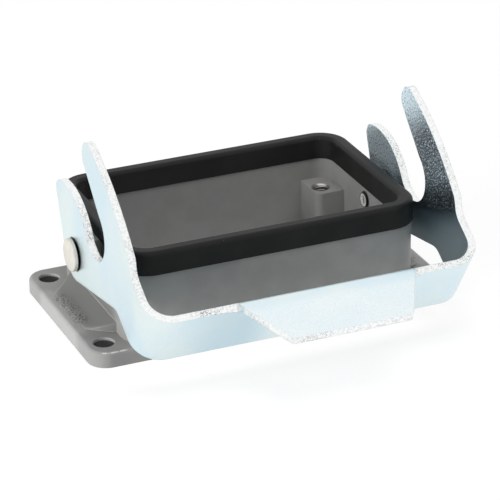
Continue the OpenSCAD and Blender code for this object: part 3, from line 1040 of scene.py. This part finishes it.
@dataclass
class Threads:
    """The threads in the tapped posts, as ridges that wind down each hole."""

    material: bpy.types.Material
    posts: Pattern
    pitch: float = 0.7 * MM
    ridge: float = 0.14 * MM
    start: float = 0.5 * MM
    turns: int = 16
    steps: int = 32
    sides: int = 4

    def tree(self) -> bpy.types.GeometryNodeTree:
        """Builds the node tree that winds one thread and repeats it on every post.

        Returns:
            The tree, with named inputs for its sizes.
        """
        tree = bpy.data.node_groups.new("post_threads", "GeometryNodeTree")
        for name in ("Spacing X", "Spacing Y", "Radius", "Pitch", "Ridge", "Turns", "Top"):
            tree.interface.new_socket(name, in_out="INPUT", socket_type=Kind.FLOAT.value)
        tree.interface.new_socket("Geometry", in_out="OUTPUT", socket_type=Kind.GEOMETRY.value)
        graph = Graph(tree)
        given = graph.node("NodeGroupInput").outputs
        depth = graph.product(given["Pitch"], given["Turns"])
        spiral = graph.node("GeometryNodeCurveSpiral", {
            "Resolution": self.steps, "Rotations": given["Turns"], "Height": depth,
            "Start Radius": given["Radius"], "End Radius": given["Radius"],
        })
        section = graph.node("GeometryNodeCurvePrimitiveCircle",
                             {"Resolution": self.sides, "Radius": given["Ridge"]})
        wound = graph.node("GeometryNodeCurveToMesh", {
            "Curve": spiral.outputs[0], "Profile Curve": section.outputs[0], "Fill Caps": True,
        })
        posts = graph.node("GeometryNodeMeshGrid", {
            "Size X": given["Spacing X"], "Size Y": given["Spacing Y"],
            "Vertices X": 2, "Vertices Y": 2,
        })
        spread = graph.node("GeometryNodeInstanceOnPoints",
                            {"Points": posts.outputs[0], "Instance": wound.outputs[0]})
        low = graph.node("ShaderNodeCombineXYZ", {"Z": graph.minus(given["Top"], depth)})
        lifted = graph.node("GeometryNodeTransform",
                            {"Geometry": spread.outputs[0], "Translation": low.outputs[0]})
        real = graph.node("GeometryNodeRealizeInstances", {"Geometry": lifted.outputs[0]})
        painted = graph.node("GeometryNodeSetMaterial",
                             {"Geometry": real.outputs[0], "Material": self.material})
        graph.node("NodeGroupOutput", {"Geometry": painted.outputs[0]})
        return tree

    def build(self) -> bpy.types.Object:
        """Winds the threads and returns them as one plain mesh."""
        sizes = {
            "Spacing X": 2 * self.posts.x,
            "Spacing Y": 2 * self.posts.y,
            "Radius": self.posts.radius,
            "Pitch": self.pitch,
            "Ridge": self.ridge,
            "Turns": float(self.turns),
            "Top": self.posts.top - self.start,
        }
        carrier = bpy.data.objects.new("post_threads", bpy.data.meshes.new("post_threads_seed"))
        bpy.context.scene.collection.objects.link(carrier)
        tree = self.tree()
        modifier = carrier.modifiers.new("threads", "NODES")
        modifier.node_group = tree
        for item in tree.interface.items_tree:
            if item.in_out == "INPUT":
                modifier[item.identifier] = sizes[item.name]
        seen = carrier.evaluated_get(bpy.context.evaluated_depsgraph_get())
        mesh = bpy.data.meshes.new_from_object(seen)
        carrier.modifiers.remove(modifier)
        carrier.data = mesh
        carrier.data.name = "post_threads"
        for polygon in mesh.polygons:
            polygon.use_smooth = True
        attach(carrier, Body.BASE.value)
        LOG.info("%s: %d faces", carrier.name, len(mesh.polygons))
        return carrier


@dataclass
class Housing:
    """The casting, its two seals and what is machined in it."""

    groups: Groups

    def build(self) -> None:
        """Dresses the casting and the seals and adds the threads."""
        posts = pattern("insert_screws")
        casting = CastingFinish("powder_coated_casting", self.groups, posts, pattern("panel_screws"))
        dress("housing", casting.material())
        rubber = RubberFinish("moulded_rubber", self.groups).material()
        for node in ("rim_seal", "panel_gasket"):
            dress(node, rubber)
        Threads(ThreadFinish("cut_thread", self.groups).material(), posts).build()


@dataclass
class Lever:
    """The locking lever and the two pins that it turns on."""

    groups: Groups

    def build(self) -> None:
        """Dresses the lever and its pins."""
        dress("locking_lever", ZincFinish("zinc_plate", self.groups).material())
        pin = PinFinish("turned_steel", self.groups).material()
        for side in ("left", "right"):
            dress(f"{side}_pivot_pin", pin)


# -------------------- stage and camera


@dataclass
class Stage:
    """The floor, the surroundings and the lamps."""

    floor_size: float = 4.0
    floor_gap: float = 0.02 * MM
    floor_white: float = 0.8
    floor_glow: float = 0.78
    floor_share: float = 0.27
    world_level: float = 0.34
    lamps: tuple[tuple[str, Triple, float, float], ...] = (
        ("key", (-0.80, -0.16, 0.12), 0.45, 9.5),
        ("top", (0.05, -0.20, 0.78), 0.50, 3.0),
    )

    def seen(self, graph: Graph) -> Socket:
        """Returns 1 for rays that should see a plain white background."""
        path = graph.node("ShaderNodeLightPath").outputs
        seen = graph.math("ADD", path["Is Camera Ray"], path["Is Glossy Ray"], clamp=True)
        return graph.math("ADD", seen, path["Is Transmission Ray"], clamp=True)

    def world(self) -> None:
        """Makes surroundings that look white and light the object softly."""
        world = bpy.data.worlds.new("surroundings")
        bpy.context.scene.world = world
        world.use_nodes = True
        world.node_tree.nodes.clear()
        graph = Graph(world.node_tree)
        level = graph.between(self.seen(graph), self.world_level, 1.0)
        sky = graph.node("ShaderNodeBackground", {"Color": (*grey(1.0), 1.0), "Strength": level})
        graph.node("ShaderNodeOutputWorld", {"Surface": sky.outputs[0]})

    def floor(self) -> None:
        """Makes the floor, white to the camera except for the object's shadow."""
        low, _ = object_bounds()
        half = self.floor_size / 2
        mesh = bpy.data.meshes.new("floor")
        quarters = ((-1, -1), (1, -1), (1, 1), (-1, 1))
        places = [(x * half, y * half, low.z - self.floor_gap) for x, y in quarters]
        mesh.from_pydata(places, [], [(0, 1, 2, 3)])
        floor = bpy.data.objects.new("floor", mesh)
        bpy.context.scene.collection.objects.link(floor)
        material = bpy.data.materials.new("floor")
        material.use_nodes = True
        material.node_tree.nodes.clear()
        graph = Graph(material.node_tree)
        plain, shaded = (graph.node("ShaderNodeBsdfDiffuse", {"Color": (*grey(level), 1.0)})
                         for level in (self.floor_white, self.floor_share))
        glow = graph.node("ShaderNodeEmission", {"Strength": self.floor_glow})
        white = graph.node("ShaderNodeAddShader", {0: shaded.outputs[0], 1: glow.outputs[0]})
        chosen = graph.node("ShaderNodeMixShader",
                            {0: self.seen(graph), 1: plain.outputs[0], 2: white.outputs[0]})
        graph.node("ShaderNodeOutputMaterial", {"Surface": chosen.outputs[0]})
        mesh.materials.append(material)
        floor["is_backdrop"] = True

    def lamp(self, name: str, place: Vector, target: Vector, size: float, power: float) -> None:
        """Hangs a soft square lamp.

        Args:
            name: its name.
            place: where it hangs, in metres.
            target: what it faces.
            size: the length of its side.
            power: its power, in watts.
        """
        light = bpy.data.lights.new(name, "AREA")
        light.size = size
        light.energy = power
        lamp = bpy.data.objects.new(name, light)
        lamp.location = place
        lamp.rotation_euler = (target - place).to_track_quat("-Z", "Y").to_euler()
        lamp.visible_glossy = False
        bpy.context.scene.collection.objects.link(lamp)
        lamp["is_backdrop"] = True

    def build(self) -> None:
        """Makes the floor, the surroundings and the lamps."""
        self.world()
        self.floor()
        low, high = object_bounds()
        middle = (low + high) / 2
        for name, place, size, power in self.lamps:
            self.lamp(name, Vector(place), middle, size, power)


@dataclass
class View:
    """The camera, aimed as the object is usually shown."""

    azimuth: float = -22.83
    elevation: float = 25.02
    roll: float = -0.78
    distance: float = 572.1 * MM
    right: float = 2.49 * MM
    up: float = 8.55 * MM
    lens: float = 201.8
    sensor: float = 36.0
    clip: Range = (0.01, 50.0)

    def build(self) -> None:
        """Makes the camera and sets it as the scene's."""
        azimuth, elevation, roll = (math.radians(a) for a in (self.azimuth, self.elevation, self.roll))
        back = Vector((math.sin(azimuth) * math.cos(elevation),
                       -math.cos(azimuth) * math.cos(elevation), math.sin(elevation)))
        level = (-back).cross(Vector((0, 0, 1))).normalized()
        upward = level.cross(-back)
        right = math.cos(roll) * level + math.sin(roll) * upward
        up = math.cos(roll) * upward - math.sin(roll) * level
        place = back * self.distance + right * self.right + up * self.up
        data = bpy.data.cameras.new("camera")
        data.sensor_width = self.sensor
        data.lens = self.lens
        data.clip_start, data.clip_end = self.clip
        camera = bpy.data.objects.new("camera", data)
        turned = Matrix((right, up, back)).transposed().to_4x4()
        camera.matrix_world = Matrix.Translation(place) @ turned
        bpy.context.scene.collection.objects.link(camera)
        bpy.context.scene.camera = camera


def main() -> None:
    """Builds the scene."""
    logging.basicConfig(level=logging.INFO, format="%(name)s: %(message)s")
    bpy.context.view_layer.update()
    groups = Groups(SoftEdges(), Grain(), Scuffs())
    for part in (Housing(groups), Lever(groups), Stage(), View()):
        part.build()
        LOG.info("%s is built", type(part).__name__)
    bpy.context.scene.view_settings.view_transform = "Standard"


if __name__ == "__main__":
    main()
